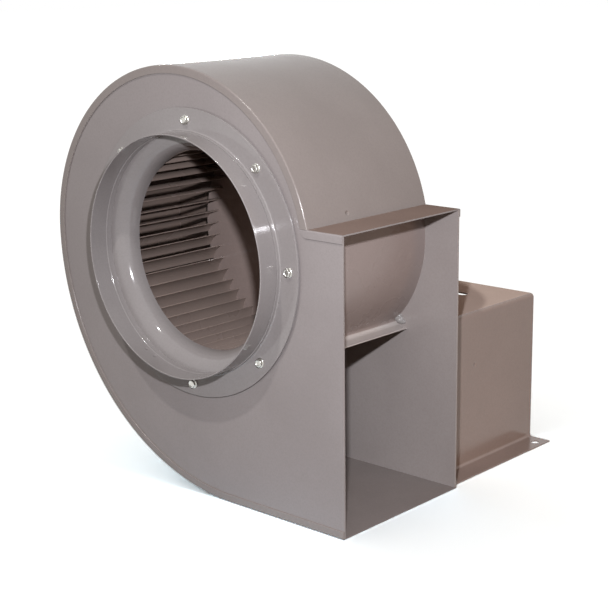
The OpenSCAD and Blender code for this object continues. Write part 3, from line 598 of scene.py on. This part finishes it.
def make_screws():
    """The heads of the ring's screws, each turned its own way."""
    bm = bmesh.new()
    to_face = Matrix.Rotation(math.radians(90), 4, "X")
    for k, turn in enumerate(SCREW_TURNS):
        before = set(bm.verts)
        screw_mesh(bm, turn)
        new = [vert for vert in bm.verts if vert not in before]
        a = 2 * math.pi * k / len(SCREW_TURNS)
        x, z = SCREW_CIRCLE_R * math.sin(a), AXIS_H + SCREW_CIRCLE_R * math.cos(a)
        place = Matrix.Translation((x, FRONT_Y - RING_FACE, z))
        bmesh.ops.transform(bm, matrix=place @ to_face, verts=new)
    add_piece("inlet_screw_heads", bm, [ZINC], "housing", ("inlet_screws",), sharp=38.0)


def make_weld():
    """The lumpy fillet weld in the corner of cutoff, lip and far side plate."""
    bm = bmesh.new()
    rng = np.random.default_rng(5)
    lumps = [(127.0, 192.6, 2.6), (128.8, 189.6, 3.4), (130.6, 187.0, 3.9), (132.6, 184.6, 4.2),
             (135.0, 182.8, 4.0), (137.8, 181.8, 3.4), (140.6, 181.6, 2.6), (131.6, 190.6, 2.6),
             (134.6, 187.6, 3.2), (137.4, 184.8, 2.8), (129.6, 194.2, 1.9)]
    for x, z, radius in lumps:
        place = Matrix.Translation((x, BACK_Y - PLATE_T - 0.2 + rng.uniform(-0.3, 0.2), z))
        bmesh.ops.create_icosphere(bm, subdivisions=3, radius=radius, matrix=place)
    weld = housing_piece("cutoff_weld", bm, [ENAMEL_WELD])
    remesh = weld.modifiers.new("join", "REMESH")
    remesh.mode = "VOXEL"
    remesh.voxel_size = 0.4 * MM
    remesh.use_smooth_shade = True
    smooth = weld.modifiers.new("soften", "SMOOTH")
    smooth.factor, smooth.iterations = 0.6, 6


def make_pedestal():
    """The pedestal, with painted light, a paler grey, on the top of its platform."""
    pedestal = dressed("motor_pedestal", "housing",
                       [ENAMEL_PEDESTAL, ENAMEL_EDGE, ENAMEL_PLATFORM_PAINTED_LIGHT], 0.35)
    top = max(vert.co.z for vert in pedestal.data.vertices)
    for face in pedestal.data.polygons:
        # The platform's top faces take the painted light
        if face.normal.z > 0.99 and face.center.z > top - 0.2 * MM:
            face.material_index = 2


# Floor, light and background
def seen_or_reflected(tree):
    """1 for rays from the camera and for those that a gloss or a clear piece sends on, else 0."""
    rays = tree.nodes.new("ShaderNodeLightPath")
    sent_on = tree.nodes.new("ShaderNodeMath")
    sent_on.operation = "MAXIMUM"
    tree.links.new(rays.outputs["Is Glossy Ray"], sent_on.inputs[0])
    tree.links.new(rays.outputs["Is Transmission Ray"], sent_on.inputs[1])
    seen = tree.nodes.new("ShaderNodeMath")
    seen.operation = "MAXIMUM"
    tree.links.new(rays.outputs["Is Camera Ray"], seen.inputs[0])
    tree.links.new(sent_on.outputs[0], seen.inputs[1])
    return seen.outputs[0]


def by_ray(tree, output, lighting, shown):
    """Joins two shaders: one lights the scene, the other is seen and reflected."""
    mix = tree.nodes.new("ShaderNodeMixShader")
    tree.links.new(seen_or_reflected(tree), mix.inputs[0])
    tree.links.new(lighting.outputs[0], mix.inputs[1])
    tree.links.new(shown.outputs[0], mix.inputs[2])
    tree.links.new(mix.outputs[0], output.inputs[0])


def coloured(tree, kind, colour):
    """A shader node of a kind with one colour."""
    node = tree.nodes.new(kind)
    node.inputs["Color"].default_value = colour
    return node


def make_world():
    """White as it is seen, a warm low level as it lights."""
    world = bpy.data.worlds.new("studio")
    scene.world = world
    world.use_nodes = True
    tree = world.node_tree
    tree.nodes.clear()
    output = tree.nodes.new("ShaderNodeOutputWorld")
    shown = coloured(tree, "ShaderNodeBackground", (1, 1, 1, 1))
    shown.inputs["Strength"].default_value = 1.0
    lighting = coloured(tree, "ShaderNodeBackground", WORLD_TINT)
    lighting.inputs["Strength"].default_value = WORLD_LEVEL
    by_ray(tree, output, lighting, shown)


def make_floor():
    """A wide floor that is seen near white and sends back only a plain share of the light."""
    s = FLOOR_HALF
    mesh = bpy.data.meshes.new("floor")
    mesh.from_pydata([(-s, -s, 0), (s, -s, 0), (s, s, 0), (-s, s, 0)], [], [(0, 1, 2, 3)])
    floor = bpy.data.objects.new("floor", mesh)
    scene.collection.objects.link(floor)
    mat = bpy.data.materials.new("pale_floor")
    mat.use_nodes = True
    tree = mat.node_tree
    tree.nodes.clear()
    output = tree.nodes.new("ShaderNodeOutputMaterial")
    lighting = coloured(tree, "ShaderNodeBsdfDiffuse", FLOOR_BOUNCE)
    shown = coloured(tree, "ShaderNodeBsdfDiffuse", FLOOR_SEEN)
    by_ray(tree, output, lighting, shown)
    mesh.materials.append(mat)
    return floor


def make_lamps(floor):
    """Round lamps that don't light the floor, which has its light from the surroundings alone."""
    not_lit = bpy.data.collections.new("floor_not_lit")
    not_lit.objects.link(floor)
    not_lit.collection_objects[0].light_linking.link_state = "EXCLUDE"
    for name, place, aim, size, watts, colour in LAMPS:
        data = bpy.data.lights.new(name, "AREA")
        data.shape = "DISK"
        data.size = size
        data.energy = watts
        data.color = colour
        lamp = bpy.data.objects.new(name, data)
        scene.collection.objects.link(lamp)
        lamp.location = place
        lamp.rotation_euler = (Vector(aim) - Vector(place)).to_track_quat("-Z", "Y").to_euler()
        lamp.light_linking.receiver_collection = not_lit


# Build
def paint(material, *names):
    """Gives CAD nodes one finish, which shows where no piece stands for the node."""
    for name in names:
        mesh = nodes[name].data
        mesh.materials.clear()
        mesh.materials.append(material)
        for polygon in mesh.polygons:
            polygon.material_index = 0


place_camera()
paint(ENAMEL, "scroll_wrap", "outlet_top_plate", "cutoff_plate", "inlet_side_plate", "drive_side_plate",
      "inlet_bell", "inlet_flange_ring", "inlet_spigot", "motor_pedestal", "pedestal_brace")
paint(WHEEL, "wheel_back_plate", "wheel_front_ring", "wheel_blades")
paint(ZINC, "inlet_screws", "block_bolts", "block_washers", "block_nuts", "hub_rivets")
paint(STEEL, "drive_shaft", "wheel_hub", "hub_key", "hub_set_screws", "retaining_rings", "cap_screws")
paint(RACE, "front_outer_race", "rear_outer_race", "front_inner_race", "rear_inner_race",
      "front_bearing_balls", "rear_bearing_balls", "front_bearing_cage", "rear_bearing_cage")
paint(IRON, "bearing_block", "front_bearing_cap", "rear_bearing_cap")
paint(RUBBER, "front_shaft_seal", "rear_shaft_seal")

make_wrap()
make_top_plate()
make_cutoff()
make_bell()
make_flange_ring()
make_collar()
make_screws()
make_weld()
dressed("inlet_side_plate", "housing", [ENAMEL_SIDE, ENAMEL_EDGE], 0.3)
dressed("drive_side_plate", "housing", [ENAMEL_FAR_PAINTED_LIGHT_AND_SHADE, ENAMEL_EDGE], 0.3)
make_pedestal()
dressed("pedestal_brace", "housing", [ENAMEL_PEDESTAL, ENAMEL_EDGE], 0.35)
dressed("bearing_block", "housing", [IRON], 1.4, steps=3)
for cap in ("front_bearing_cap", "rear_bearing_cap"):
    dressed(cap, "housing", [IRON], 0.5)
for fastener in ("block_bolts", "block_nuts"):
    dressed(fastener, "housing", [ZINC], 0.4)
dressed("block_washers", "housing", [ZINC], 0.2)
dressed("cap_screws", "housing", [STEEL], 0.25)
dressed("wheel_back_plate", "rotor", [WHEEL_BACK, WHEEL_EDGE], 0.2)
dressed("wheel_front_ring", "rotor", [WHEEL, WHEEL_EDGE], 0.2)
dressed("wheel_hub", "rotor", [STEEL], 0.4)
dressed("drive_shaft", "rotor", [STEEL], 0.2)

make_world()
make_lamps(make_floor())
scene.view_settings.view_transform = "Standard"
